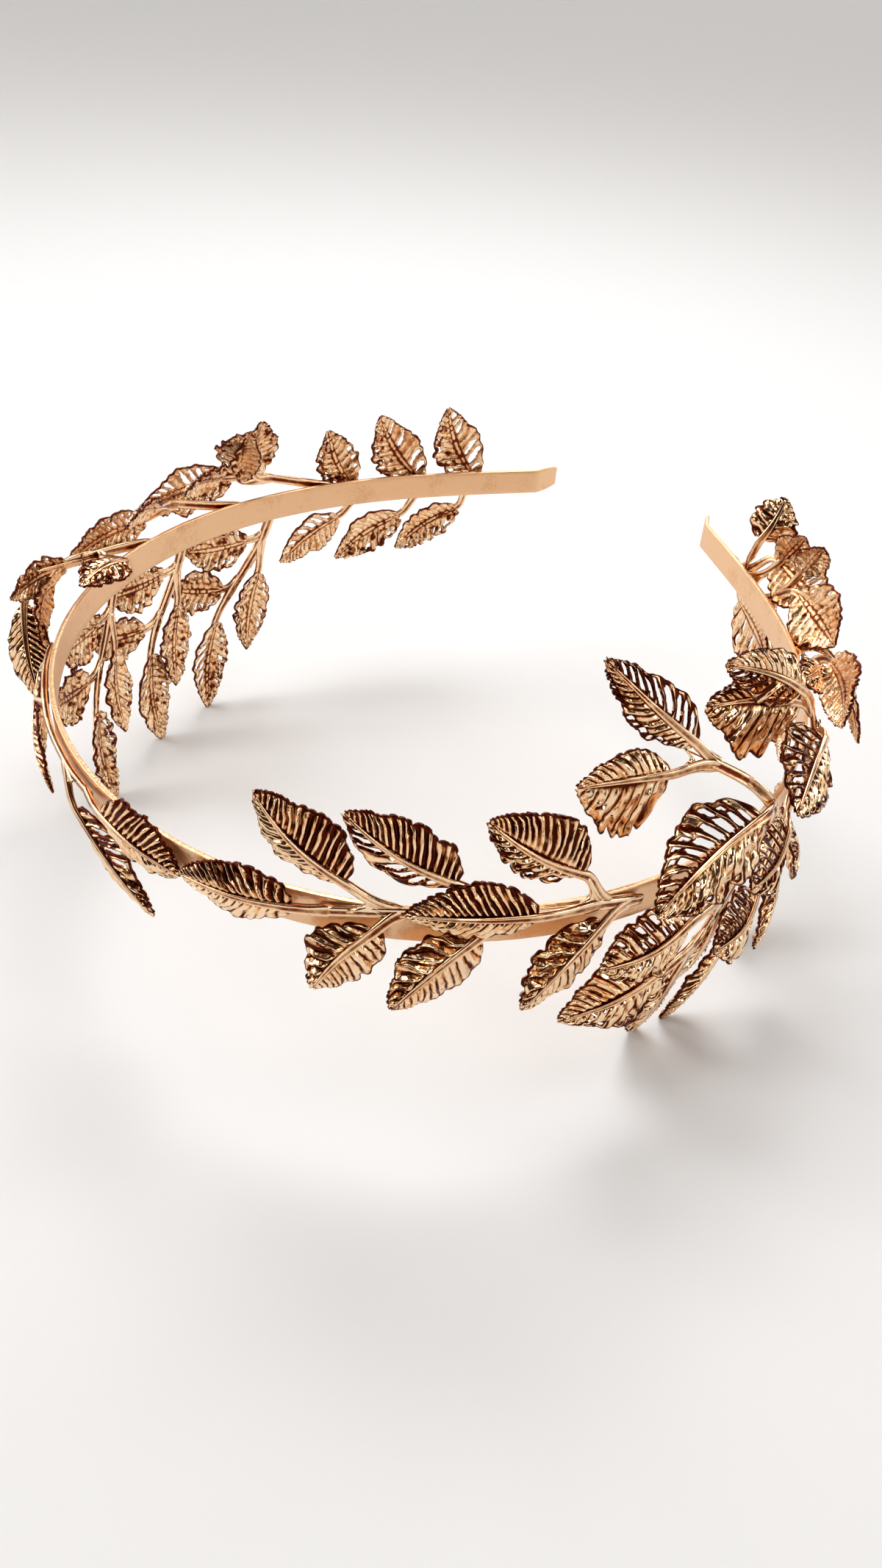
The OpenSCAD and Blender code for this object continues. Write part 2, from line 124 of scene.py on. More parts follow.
# The sprays by node: (arm, joints of the stem as (s, h, o), leaves). Arm 1 is the right arm
# and -1 the left one. The first joint of a stem is the one on the band.
SPRAYS = {
    "front_spray_right": (1,
        [(78, 1.5, 1.6), (70, 3, 1.6), (54, 4, 1.6), (34, 3.5, 1.6), (24, 1.5, 1.7)],
        [(21, 2, 2.8, 0, 0.5, 3.2, 12, 0, 4, 0.1, "deep", "fine"),
         (29, 9, 2.2, 14, 23.5, 2.2, 12, 0, 3, 0.2, "deep", "ladder"),
         (34, 0.7, 2.9, 24, -16, 3, 12, 0, 3, -0.05, "lobed", "fine"),
         (46, 11, 2.2, 28, 23.5, 2.2, 12, 0, 2, 0.1, "deep", "slots"),
         (50, 0, 2.8, 37, -16, 5, 12, 0, 2, -0.05, "lobed", "fine"),
         (59, 5, 4, 38, 6, 4.4, 12, 0, 1, 0.1, "deep", "fine"),
         (66, 11, 2.2, 49, 24, 2.2, 12, 0, 1, 0.25, "deep", "rough"),
         (71, 0, 2.8, 57, -14, 7, 11, 0, 0, 0.0, "lobed", "fine")]),
    "front_spray_left": (-1,
        [(74, 1, 1.6), (64, 1, 1.6), (48, 1.5, 1.6), (34, 1, 1.6), (24, 1, 1.7)],
        [(20, 1, 2.8, 0, -1, 2.6, 13, 0, 4, 0.1, "deep", "fine"),
         (30, -5, 2.8, 10, -19, 0.5, 11, 0, 3, 0.0, "slots", "fine"),
         (58, -1, 3.4, 43, -12, 3.5, 7, 0, 2, 0.0, "deep", "fine"),
         (70, -2, 3.4, 60, -16, 4, 10, 0, 1, 0.0, "deep", "fine")]),
    "low_spray_right_1": (1,
        [(107, -2, 1.6), (102, -10, 1.6), (96, -19, 1.6)],
        [(90, -9, 3, 71, -11, 4, 13, 20, 1, 0.1, "slits", "soft"),
         (89, -18, 3, 66, -24, 2.5, 14, 18, 2, 0.1, "fine", "soft"),
         (93, -26, 1, 95, -50.6, -6, 11, 0, 2, 0.0, "holes", "fine"),
         (102, -18, 1, 100, -38, -4, 11, 0, 1, 0.0, "fine", "deep")]),
    "low_spray_right_2": (1,
        [(131, -2, 1.6), (127, -10, 1.6), (119, -20, 1.6)],
        [(124, -8, 3.2, 104, -8, 5, 14, 20, 1, 0.15, "pierced", "slits"),
         (126, -18, 3, 120, -37, 5, 11, 0, 1, 0.0, "holes", "fine"),
         (115, -20, 3, 97, -19, 5, 14, 20, 2, 0.1, "slits", "soft"),
         (111, -29, 1, 102, -50.6, -4, 10, 0, 2, 0.0, "deep", "fine")]),
    "low_spray_right_3": (1,
        [(157, -2, 1.6), (153, -10, 1.6), (145, -20, 1.6)],
        [(150, -8, 3.2, 132, -7, 5.5, 14, 20, 1, 0.15, "pierced", "slits"),
         (152, -18, 1, 146, -37, -2, 11, 0, 1, 0.0, "fine", "deep"),
         (141, -20, 2.4, 124, -16, 6.5, 14, 20, 2, 0.1, "slits", "soft"),
         (140, -28, 1, 134, -50.6, -2, 11, 0, 2, 0.0, "deep", "fine")]),
    "low_spray_left_1": (-1,
        [(107, -2, 1.6), (103, -10, 1.4), (95, -21, 1.2)],
        [(100, -9, 2, 81, -6, 3.5, 11, 0, 1, 0.0, "rough", "rough"),
         (102.5, -17, 0.5, 97, -37, -3, 11, 0, 1, 0.0, "rough", "holes"),
         (92, -20, 1.8, 75, -15, 4, 12, 0, 2, 0.0, "rough", "rough"),
         (91, -27, 0.5, 88, -50.6, -3, 11, 0, 2, 0.0, "rough", "rough")]),
    "low_spray_left_2": (-1,
        [(131, -2, 1.6), (127, -10, 1.4), (119, -21, 1.2)],
        [(124, -8.5, 2, 105.5, -6.5, 4, 11, 0, 1, 0.0, "rough", "rough"),
         (126.5, -17, 0.5, 120, -37, -3, 10, 0, 1, 0.0, "rough", "rough"),
         (116, -20, 1.8, 100, -15, 5.5, 11, 0, 2, 0.0, "holes", "rough"),
         (116, -26, 0.5, 114, -50.6, -2, 12, 0, 2, 0.0, "slots", "rough")]),
    "low_spray_left_3": (-1,
        [(157, -2, 1.6), (153, -10, 1.4), (144, -21, 1.2)],
        [(150, -8.5, 2, 132, -6.5, 4, 11, 0, 1, 0.0, "rough", "rough"),
         (152, -17, 0.5, 145, -37, -3, 10, 0, 1, 0.0, "rough", "holes"),
         (142, -20, 1.8, 128, -15.5, 5, 11, 0, 2, 0.0, "rough", "rough"),
         (138.5, -27, 0.5, 132, -50.6, -2, 11, 0, 2, 0.0, "slots", "rough")]),
    "top_spray_right_1": (1,
        [(112, 1, 1.6), (111, 5.4, 1.6), (107, 11, -2), (100, 16, -8)],
        [(98, 19, -9.5, 78, 36, -19.5, 10, 0, 3, 0.1, "slots", "beads"),
         (91, 16, -9, 69, 18, -10.5, 16, 16, 3, -0.4, "fine", "broad"),
         (105, 8, 3, 78, 1, 6, 17, 35, 1, 0.0, "pierced", "soft")]),
    "top_spray_right_2": (1,
        [(138, 1, 1.6), (137.5, 5.4, 1.6), (136.5, 12, -0.5)],
        [(135.5, 12.5, -2, 115, 16.5, -16.5, 16, 15, 2, -0.3, "rough", "broad"),
         (135, 15, -2, 116, 26, -15, 11, 0, 2, 0.0, "fine", "slots"),
         (133, 8.5, 3.8, 112, 5.5, 6, 17, 40, 1, 0.0, "pierced", "soft")]),
    "top_spray_right_3": (1,
        [(164, 1, 1.6), (163, 5.4, 1.6), (155, 8.5, 2.5)],
        [(158, 9.5, 4, 137, 8.5, 6.5, 13, -20, 1, 0.1, "deep", "fine"),
         (153.5, 10, 0.5, 142, 14, -3, 9, 40, 2, 0.0, "deep", "fine")]),
    "top_spray_left_1": (-1,
        [(122, 1, 1.6), (111, 4.2, 2.0), (99, 7, 4)],
        [(103, 6.5, -4.5, 86, 8.5, -2, 9, 100, 2, 0.0, "rough", "rough"),
         (96, 7, 6, 80, 7.5, 11, 8, 0, 2, 0.0, "rough", "fine"),
         (92, 6, 7.5, 82, -4.5, 6.6, 9, 0, 2, 0.0, "rough", "fine"),
         (87, 2, 11.5, 77, -16, 6.5, 10, 80, 2, 0.0, "deep", "fine")]),
    "top_spray_left_2": (-1,
        [(150, 1, 1.6), (139, 4.2, 2.0), (128, 8, 3.5)],
        [(123, 5.5, 5, 98.5, 5, 8, 10, 0, 2, 0.0, "slits", "rough"),
         (122, 10.5, 0, 102, 17, -7, 9, 30, 2, 0.0, "rough", "fine")]),
    "top_spray_left_3": (-1,
        [(176, 1, 1.6), (165, 4.2, 1.8), (153, 8.5, 1)],
        [(151, 10, -0.5, 147, 28, -10, 12, 0, 2, 0.0, "rough", "rough"),
         (146.5, 10, -0.5, 142, 27, -12, 10, 50, 2, 0.0, "fine", "rough"),
         (148, 7.8, 4.8, 121.5, 7.4, 6.6, 12, 0, 2, 0.0, "slots", "rough"),
         (141, 12, -1, 123, 17, -8, 10, 30, 2, 0.0, "rough", "fine")]),
    "back_spray_right": (1,
        [(216, 1, 1.6), (211, 0, 1.6), (196, -1, 1.6), (180, -1, 1.6)],
        [(209, 9.5, 3.5, 211, 19.5, 8.5, 11, -125, 1, 0.0, "broad", "broad"),
         (203, 8, 5.2, 181, 8.5, 8.5, 14, -35, 1, 0.0, "slots", "fine"),
         (200, 9, 5, 197, 17, 7.5, 9, 55, 1, 0.0, "deep", "fine"),
         (192, 10, 6, 188, 19.5, 7.5, 8, 58, 2, 0.0, "fine", "deep"),
         (188, 7.5, 4.8, 167, 7.5, 7, 14, -30, 2, 0.0, "holes", "soft"),
         (170, 3, 8, 157, -9, 15, 8, 0, 3, 0.0, "slots", "fine"),
         (210, -7, 2.6, 188, -12.5, 3, 17, 0, 1, 0.0, "fine", "pierced"),
         (189, -8, 2.6, 169, -16, 1, 11, 0, 2, 0.0, "holes", "fine"),
         (175, -7, 2.6, 156, -16, 0, 11, 0, 3, 0.0, "deep", "fine")]),
    "back_spray_left": (-1,
        [(216, 0, 1.6), (211, 0, 1.6), (196, 0, 1.6), (179, 0, 1.6)],
        [(213, 0.5, 2.4, 204, 20.5, 1.8, 13, 0, 1, 0.0, "slots", "rough"),
         (198, 0.5, 2.4, 186, 19.5, 1.8, 13, 0, 2, 0.0, "slots", "rough"),
         (179.5, 0.5, 2.4, 172.5, 17, 1.8, 11, 0, 3, 0.0, "holes", "rough"),
         (209, -7.5, 2, 191, -17.5, 0, 10, 0, 1, 0.0, "fine", "rough"),
         (193, -8.5, 2, 174, -18, 0, 11, 0, 2, 0.0, "fine", "rough"),
         (176, -7, 2, 158, -16, 0, 10, 0, 3, 0.0, "slots", "fine")]),
}

# The look of one half of a leaf: pitch and height of its pleats, the share of a pleat that is painted
# dark as shade, height of the wrinkles in its skin, how strongly its margin is toothed, and its rows of
# cuts: half width as a share of a pleat, then from and to as shares of the half.
Look = namedtuple("Look", "pitch height dark wrinkle teeth cuts")
LOOKS = {
    "deep": Look(1.25, 0.38, 0.55, 0.12, 0.8, ()),
    "fine": Look(1.50, 0.28, 0.28, 0.12, 0.7, ()),
    "ladder": Look(1.10, 0.26, 0.28, 0.10, 0.9, ()),
    "broad": Look(2.30, 0.24, 0.20, 0.20, 1.5, ()),
    "rough": Look(1.60, 0.30, 0.38, 0.26, 1.5, ((0.34, 0.62, 0.84),)),
    "soft": Look(1.90, 0.20, 0.20, 0.24, 1.5, ((0.22, 0.74, 0.86),)),
    "lobed": Look(2.40, 0.62, 0.24, 0.18, 1.3, ((0.22, 0.36, 0.62),)),
    "slots": Look(2.20, 0.28, 0.42, 0.10, 0.8, ((0.34, 0.13, 0.84),)),
    "slits": Look(1.60, 0.26, 0.34, 0.16, 0.9, ((0.24, 0.16, 0.46), (0.24, 0.56, 0.84))),
    "holes": Look(1.90, 0.30, 0.32, 0.18, 1.0, ((0.33, 0.66, 0.87),)),
    "beads": Look(1.50, 0.24, 0.36, 0.16, 1.2, ((0.36, 0.72, 0.9),)),
    "pierced": Look(2.50, 0.30, 0.34, 0.14, 1.0, ((0.31, 0.12, 0.58), (0.24, 0.70, 0.86))),
}

# The outline of a leaf. Its pleats, teeth and waves are shares of its half width.
WIDEST = 0.82          # less moves the widest place towards the stalk
FULLNESS = 0.75        # less makes the outline fuller
TIP_WIDTH = 0.05       # least half width, as a share
PLAIN_MARGIN = 0.90    # half width at the margin between teeth, as a share
WANDER = 0.20          # slow waves in the margin
TOOTH = 0.15           # length of the teeth
FEWEST_TEETH = 4       # teeth along a half; some leaves have one or two more
TOOTH_ROUND = 0.6      # less makes the teeth rounder
TOOTH_WAVER = 0.09     # how far the waves move the teeth along the margin
TOOTH_STEP = 0.17      # how far the teeth are moved from one leaf to the next
UPPER_STEP = 0.37      # how far the upper half's teeth are moved against the lower ones
NOTCH = 0.008          # notch at the end of each pleat
RAGGED = 0.11          # raggedness of the margin

# The form of a leaf's sheet
SHEET = 0.5            # thickness of the stamped metal
FOLD = 0.27            # fall of each half per mm away from the middle rib
BOW = 1.2              # rise of a leaf's middle
LEAST_BOW, MORE_BOW = 0.8, 0.1    # shares of it, which vary from leaf to leaf
BEND = 0.07            # sideways bow of the rib, as a share of the length
BELLY = 0.55           # bulge of each half
BELLY_CURVE = 0.9      # less moves the bulge towards the rib
CHANNEL = 0.28         # depth of the channel beside the rib
RIM = 0.22             # rise of the rim at the margin
TOOTH_LIFT = 0.6       # how far the teeth curl up
BUCKLE = 0.5           # slow unevenness of each half
SLANT = 0.19           # how far a pleat runs towards the tip, as a share of the length
SLANT_CURVE = 1.15     # more makes a pleat straighter near the rib
STEEP = 0.55           # how much steeper a pleat's one side is
CREST = 0.33           # place of the crest in a pleat
PLEAT_WAVER = 0.8      # how far pleats wander, as a share of a pleat
PLEAT_VARY = 0.9       # how much the height varies from pleat to pleat
FULL_HALF = 6.0        # half width from which pleats have their full height
END_RISE = 3.0         # how soon the pleats rise from either end of the leaf
TIP_LOSS = 0.5         # share of their height that they lose towards the tip
MARGIN_LOSS = 0.6      # share that they lose towards the margin
CREPE = 1.3            # share of the fine wrinkles
CREASES = 1.2          # share of the creases across the pleats

# Where a form or a shade sets in across a half leaf, from the rib at 0 to the margin at 1
NEAR_RIB = 0.01
PLEATS_RISE = (0.05, 0.26)
PLEATS_FALL = (0.75, 1.0)
WRINKLES_RISE = (0.1, 0.4)
CHANNEL_ENDS = (0.06, 0.2)
TEETH_RISE = (0.6, 1.0)
RIM_RISES = (0.88, 1.0)
TIP_FALL = (0.8, 1.0)          # along the leaf, from its base to its tip
GROOVES_START = (0.08, 0.25)
RIB_SHADE_ENDS = (0.05, 0.16)
BACK_RIB_STARTS = (0.04, 0.09)
BACK_RIB_ENDS = (0.1, 0.2)
MARGIN_STARTS = (0.9, 1.0)

# Painted shade in the grooves, beside the ribs, in pits and along margins, cut edges and stem edges,
# from 0 to 1
SHADE = "shade"        # vertex attribute of painted shade: 0 on a crest, 1 in the bottom of a groove
BEHIND = "behind"      # the same for the back of a sheet, while it has no thickness
GROOVE_SHADE = 0.85
GROOVE_BLOTCHES = 0.9  # how much the grooves' shade varies
GROOVE_EDGE = (0.4, 0.3)       # softness of its edge below and above its level
BACK_DARK = 0.5        # share of the front's dark that the back's grooves have
RIB_SHADE = 0.85
BACK_RIB_SHADE = 0.7
MARGIN_SHADE = 0.9
CUT_SHADE = 0.7
PIT_SHADE = 2.6
PITS = (0.12, 0.42)    # levels of the creases between which painted shade darkens the pits
STEM_TOP_SHADE = 0.85
STEM_TOP = (0.93, 1.0)         # sine of the angle round a stem where painted shade darkens the middle of its top, with the groove, and of its underside
# painted shade along the thin edges of a stem
STEM_SIDE_SHADE = 0.7
STEM_SIDE = (0.0, 0.4)

# Random patterns: how fast one changes with its first and second place, how far it is moved
# from leaf to leaf along the first, and its salt, which sets it apart from the others
Pattern = namedtuple("Pattern", "first second shift salt")
WAVES = Pattern(3.2, 4.0, 0.0, 2.9)
RAGS = Pattern(14.0, 2.0, 0.0, 4.1)
GRAIN = Pattern(1.3, 6.5, 0.0, 3.7)
WAVER = Pattern(6.0, 1.4, 0.0, 2.3)
HEIGHTS = Pattern(0.8, 1.3, 0.0, 0.0)
BUCKLES = Pattern(0.45, 0.45, 3.1, 1.7)
FINE_CREPE = Pattern(1.1, 1.1, 0.0, 5.3)
BLOTCHES = Pattern(5.0, 2.5, 0.0, 6.7)
BLINDS = Pattern(2.7, 1.0, 0.0, 1.9)
UPPER_WAVER = 7.0      # sets the upper half's pleats apart from the lower half's
HALF_HEIGHTS = 3.0     # the same for their heights
CUT_ROWS = 5.0         # the same for the rows of cuts in one half

# Slots and holes
FIRST, LAST = 0.1, 0.87    # shares of the length between which cuts are made
CUT_PLACE = 0.4        # place of a cut in its pleat
BLIND = 0.22           # level of the pattern over which a cut was never opened

# The grid that a leaf is made from
RIB_START, RIB_REACH = 0.02, 0.96    # shares of the length that the sheet covers
ROW_WIDTH = 0.19       # width of a grid row along a leaf
COLUMNS = 24           # grid columns from margin to margin
INSIDE = 0.999         # grid points nearer to the middle than this are inside the outline
MARGIN_EASE = 0.5      # smoothing of the margins and of the cuts' edges
FOLDED = 0.45          # a grid point whose faces turn away more than this is eased flat
FOLD_EASE = 0.7
FOLD_PASSES = 6
BACK_FROM = -0.15      # faces turned further away than this have the back's finish

# Stems, stalks and ribs
STEM = 1.15            # half width of a stem
STEM_ROOT = 1.15       # share of it at the band
STEM_TAPER = 0.3       # share that it loses by its end
STEM_START, STEM_GAIN, STEM_OPENS = 0.7, 0.3, 3    # a thinner start, over three stations
STEM_FLAT = 0.7        # thickness of a stem as a share of its width
STEM_GROOVE = 0.5      # depth of the groove along its top, as a share of half its thickness
STALK_GROOVE = 0.4
STEM_STATIONS = 8      # stations between two joints
BAR_SIDES = 14
TOUCHING = 1e-5
LEAD = 6.0             # how far back from its joint a stalk leaves the stem
LEAD_SHARE = 0.45      # most that may be of the way to the joint before
STALK_STATIONS = 12
STALK_PULL = 0.45      # how far a stalk follows the stem, as a share of its way to the leaf
STALK_SWING = 0.3      # how far it runs ahead of the leaf
STALK_SIZE = (0.82, 0.60)      # half width and half thickness as shares of a stem's
STALK_FLARE = (0.55, -0.04)    # what they gain at the stem
FLARE_ENDS = (0.0, 0.75)
STALK_START, STALK_GAIN, STALK_OPENS = 0.35, 0.65, (0.0, 0.3)
RIB_STATIONS = 18
RIB_SIZE = (0.80, 0.62)
RIB_TAPER = (0.58, 0.32)
RIB_CURVE = 0.8
RIB_FROM, RIB_LENGTH, RIB_AHEAD = 0.03, 0.91, 0.08     # shares of the leaf's length
RIB_LIFT, RIB_SINK = 0.05, 0.1       # height over the sheet, and its fall towards the tip

# Webs in the forks
FORK = 0.2             # sine of the least angle of a fork that holds a web
SHARP_TURN = 0.85      # cosine of the bend of a stem that is too sharp for a web
WEB_GRID = (10, 6)
WEB_START, WEB_END = 0.12, 0.95      # shares of a stalk between which its web runs
WEB_HOLLOW = 0.36      # how far the open side is hollowed
WEB_LIFT, WEB_RIM = 0.3, 0.15
WEB_THICKNESS = 0.9

FACE, BACK, BARS = range(3)    # places of the three finishes on a spray


def smooth(x, low, high):
    k = min(max((x - low) / (high - low), 0.0), 1.0)
    return k * k * (3.0 - 2.0 * k)


def leaf_outline(t):
    """Half width of a leaf at share t of its length, 1 at the widest."""
    return max(TIP_WIDTH, math.sin(math.pi * min(t, 1.0) ** WIDEST) ** FULLNESS)


def lobes(t, number, shift):
    """Rounded teeth along a margin, from 0 in a notch to 1 on a tooth."""
    return abs(math.sin(math.pi * (number * t + shift))) ** TOOTH_ROUND


class Leaf:
    """One stamped leaf: its frame, and the point of its sheet at any place. A place is u,
    the share of the length at which a pleat line starts on the rib, and v, the share of the
    half width, from -1 at the lower margin to 1 at the upper one."""

    def __init__(self, row, branch, seed):
        self.base = at(row.s, row.h, row.o)
        self.run = at(row.tip_s, row.tip_h, row.tip_o) - self.base
        self.length = self.run.length
        self.width = row.width
        self.lean = row.lean
        self.looks = (LOOKS[row.upper], LOOKS[row.lower])
        ahead = self.run.normalized()
        out = outward((row.s + row.tip_s) / 2.0)
        normal = (out - ahead * out.dot(ahead)).normalized()
        side = ahead.cross(normal)
        twist = math.radians(row.twist)
        self.side = side * math.cos(twist) - normal * math.sin(twist)
        self.normal = normal * math.cos(twist) + side * math.sin(twist)
        self.bend = BEND * self.length * self.side.dot(branch)
        self.seed = seed
        self.rows = round(self.length / ROW_WIDTH)
        self.teeth = FEWEST_TEETH + seed % 3
        self.bow = BOW * (LEAST_BOW + MORE_BOW * (seed % 5))

    def rib(self, t):
        """Point of the middle rib."""
        s = math.sin(math.pi * t)
        return self.base + self.run * t + self.side * (self.bend * s) + self.normal * (self.bow * s)

    def look(self, v):
        return self.looks[0] if v > 0.0 else self.looks[1]

    def chance(self, pattern, first, second, more=0.0):
        """Smooth random value of a pattern at a place."""
        return noise.noise(Vector((first * pattern.first + self.seed * pattern.shift,
                                   second * pattern.second, self.seed * pattern.salt + more)))

    def creases(self, u, v):
        """Creases that run across the pleats; their low sides get painted shade as dark pits."""
        return self.chance(GRAIN, u * self.length, v)

    def phase(self, u, v):
        """Count of pleats up to line u."""
        waver = self.chance(WAVER, u, abs(v), UPPER_WAVER if v > 0.0 else 0.0)
        return u * self.length / self.look(v).pitch + PLEAT_WAVER * waver * abs(v)

    def ridge(self, u, v):
        """Height across the pleats, from -1 in a valley to 1 on a crest, one side steeper."""
        a = 2.0 * math.pi * (self.phase(u, v) + CREST)
        return math.sin(a + STEEP * math.sin(a))

    def surface(self, u, v):
        """Point of the sheet."""
        look = self.look(v)
        edge = abs(v)
        half = v / max(edge, NEAR_RIB)
        t = u + SLANT * 4.0 * u * (1.0 - u) * edge ** SLANT_CURVE
        swell = math.sin(math.pi * min(t, 1.0))
        share = 0.5 + (self.lean if v > 0.0 else -self.lean) * 0.5

        # how wide the leaf is here
        uneven = self.chance(WAVES, t, half)
        ragged = self.chance(RAGS, t, v)
        ridge = self.ridge(u, v)
        shift = TOOTH_STEP * self.seed + (UPPER_STEP if v > 0.0 else 0.0)
        tooth = lobes(t + TOOTH_WAVER * uneven, self.teeth, shift)
        cut = look.teeth * (TOOTH * tooth + NOTCH * ridge + RAGGED * ragged)
        margin = PLAIN_MARGIN + (WANDER * uneven + cut) * swell
        x = v * self.width * share * leaf_outline(t) * margin

        # how high it lies
        vary = self.chance(HEIGHTS, self.phase(u, v), self.seed, half * HALF_HEIGHTS)
        height = look.height * min(1.0, self.width * share / FULL_HALF) * (1.0 + PLEAT_VARY * vary)
        ends = min(1.0, END_RISE * swell) * (1.0 - TIP_LOSS * smooth(t, *TIP_FALL))
        pleat = height * ridge * smooth(edge, *PLEATS_RISE)
        z = -FOLD * abs(x)
        z += BELLY * math.sin(math.pi * min(edge, 1.0) ** BELLY_CURVE) * swell
        z += pleat * (1.0 - MARGIN_LOSS * smooth(edge, *PLEATS_FALL)) * ends
        z += TOOTH_LIFT * look.teeth * (tooth - 0.5) * smooth(edge, *TEETH_RISE) * swell
        z -= CHANNEL * (1.0 - smooth(edge, *CHANNEL_ENDS)) * swell
        z += RIM * smooth(edge, *RIM_RISES) * swell

        buckle = self.chance(BUCKLES, x, t * self.length)
        fine = self.chance(FINE_CREPE, x, t * self.length)
        wrinkles = look.wrinkle * (CREPE * fine - CREASES * self.creases(u, v))
        skin = BUCKLE * buckle * edge + wrinkles * smooth(edge, *WRINKLES_RISE) * ends
        return self.rib(t) + self.side * x + self.normal * z + self.normal * skin

    def shade(self, u, v, face):
        """Painted shade of the sheet here, from 0 to 1: how far into a groove or an edge it lies. Face
        is 1 on the front and -1 on the back, whose grooves lie behind the crests of the front."""
        look = self.look(v)
        dark = look.dark if face > 0 else BACK_DARK * look.dark
        edge = abs(v)
        level = math.cos(math.pi * dark)
        below, above = GROOVE_EDGE
        # painted shade in the valleys between the pleats, in blotches
        valley = smooth(-face * self.ridge(u, v), level - below, level + above)
        valley *= smooth(edge, *GROOVES_START)
        groove = valley * (GROOVE_SHADE + GROOVE_BLOTCHES * self.chance(BLOTCHES, u, v))
        # painted shade in the channel beside the rib on the front, and in lines either side of the
        # raised rib on the back
        if face > 0:
            beside_rib = RIB_SHADE * (1.0 - smooth(edge, *RIB_SHADE_ENDS))
        else:
            beside_rib = BACK_RIB_SHADE * smooth(edge, *BACK_RIB_STARTS)
            beside_rib *= 1.0 - smooth(edge, *BACK_RIB_ENDS)
        # painted shade in pits on the low sides of the creases, and along the margin
        pits = PIT_SHADE * look.wrinkle * smooth(self.creases(u, v), *PITS)
        margin = MARGIN_SHADE * smooth(edge, *MARGIN_STARTS)
        return min(1.0, max(0.0, groove, beside_rib, pits, margin))

    def open_cell(self, u, v):
        """True where a slot or a hole is cut."""
        if not FIRST < u < LAST:
            return False
        phase = self.phase(u, v) + CUT_PLACE
        off = phase % 1.0 - 0.5
        for number, (wide, low, high) in enumerate(self.look(v).cuts):
            blind = self.chance(BLINDS, math.floor(phase), number * CUT_ROWS + v / abs(v))
            across = (abs(v) - (low + high) / 2.0) / ((high - low) / 2.0)
            if blind < BLIND and (off / wide) ** 2 + across ** 4 < 1.0:
                return True
        return False


def line_of(x):
    """Pleat line u of a leaf's grid at x, which runs from -1 to 1."""
    return RIB_START + RIB_REACH * (x + 1.0) / 2.0


def ease(bm, verts, factor):
    bmesh.ops.smooth_vert(bm, verts=verts, factor=factor, use_axis_x=True, use_axis_y=True,
                          use_axis_z=True)


def folded_points(bm):
    """Points at which the sheet is folded so sharply that its thickness would make a spike."""
    bm.normal_update()
    return [v for v in bm.verts if any(f.normal.dot(v.normal) < FOLDED for f in v.link_faces)]


def cut_cells(bm, leaf):
    """Cut the slots and holes out of a leaf's grid. Where two cuts meet at one point, the
    faces around that point go too."""
    cells = []
    for f in bm.faces:
        c = f.calc_center_median()
        if leaf.open_cell(line_of(c.x), c.y):
            cells.append(f)
    while cells:
        bmesh.ops.delete(bm, geom=cells, context="FACES")
        pinched = [v for v in bm.verts if sum(e.is_boundary for e in v.link_edges) > 2]
        cells = list({f for v in pinched for f in v.link_faces})


def leaf_sheet(leaf):
    """Grid of one leaf with its slots cut out, pleated, toothed and given its thickness."""
    bm = bmesh.new()
    shade = bm.verts.layers.float.new(SHADE)
    behind = bm.verts.layers.float.new(BEHIND)
    bmesh.ops.create_grid(bm, x_segments=leaf.rows, y_segments=COLUMNS, size=1.0)
    cut_cells(bm, leaf)
    edges = [v for v in bm.verts if v.is_boundary]
    cut_edges = [v for v in edges if abs(v.co.x) < INSIDE and abs(v.co.y) < INSIDE]
    for v in bm.verts:
        u = line_of(v.co.x)
        # painted shade for the front and for the back
        v[shade] = leaf.shade(u, v.co.y, 1)
        v[behind] = leaf.shade(u, v.co.y, -1)
        v.co = leaf.surface(u, v.co.y)
    # painted shade along the edges of the cuts
    for v in cut_edges:
        v[shade] = max(v[shade], CUT_SHADE)
    ease(bm, edges, MARGIN_EASE)
    bmesh.ops.recalc_face_normals(bm, faces=bm.faces)
    total = sum((f.normal for f in bm.faces), Vector())
    if total.dot(leaf.normal) < 0.0:
        bmesh.ops.reverse_faces(bm, faces=bm.faces)
    for _ in range(FOLD_PASSES):
        ease(bm, folded_points(bm), FOLD_EASE)
    bmesh.ops.solidify(bm, geom=bm.faces, thickness=SHEET)
    for f in bm.faces:
        f.material_index = FACE if f.normal.dot(leaf.normal) > BACK_FROM else BACK
    # points of the back take the back's painted shade
    for v in bm.verts:
        if sum((f.normal.dot(leaf.normal) for f in v.link_faces), 0.0) < 0.0:
            v[shade] = v[behind]
    bm.verts.layers.float.remove(bm.verts.layers.float[BEHIND])
    return bm


def bezier(p0, p1, p2, p3, t):
    q = 1.0 - t
    return p0 * (q ** 3) + p1 * (3 * q * q * t) + p2 * (3 * q * t * t) + p3 * (t ** 3)


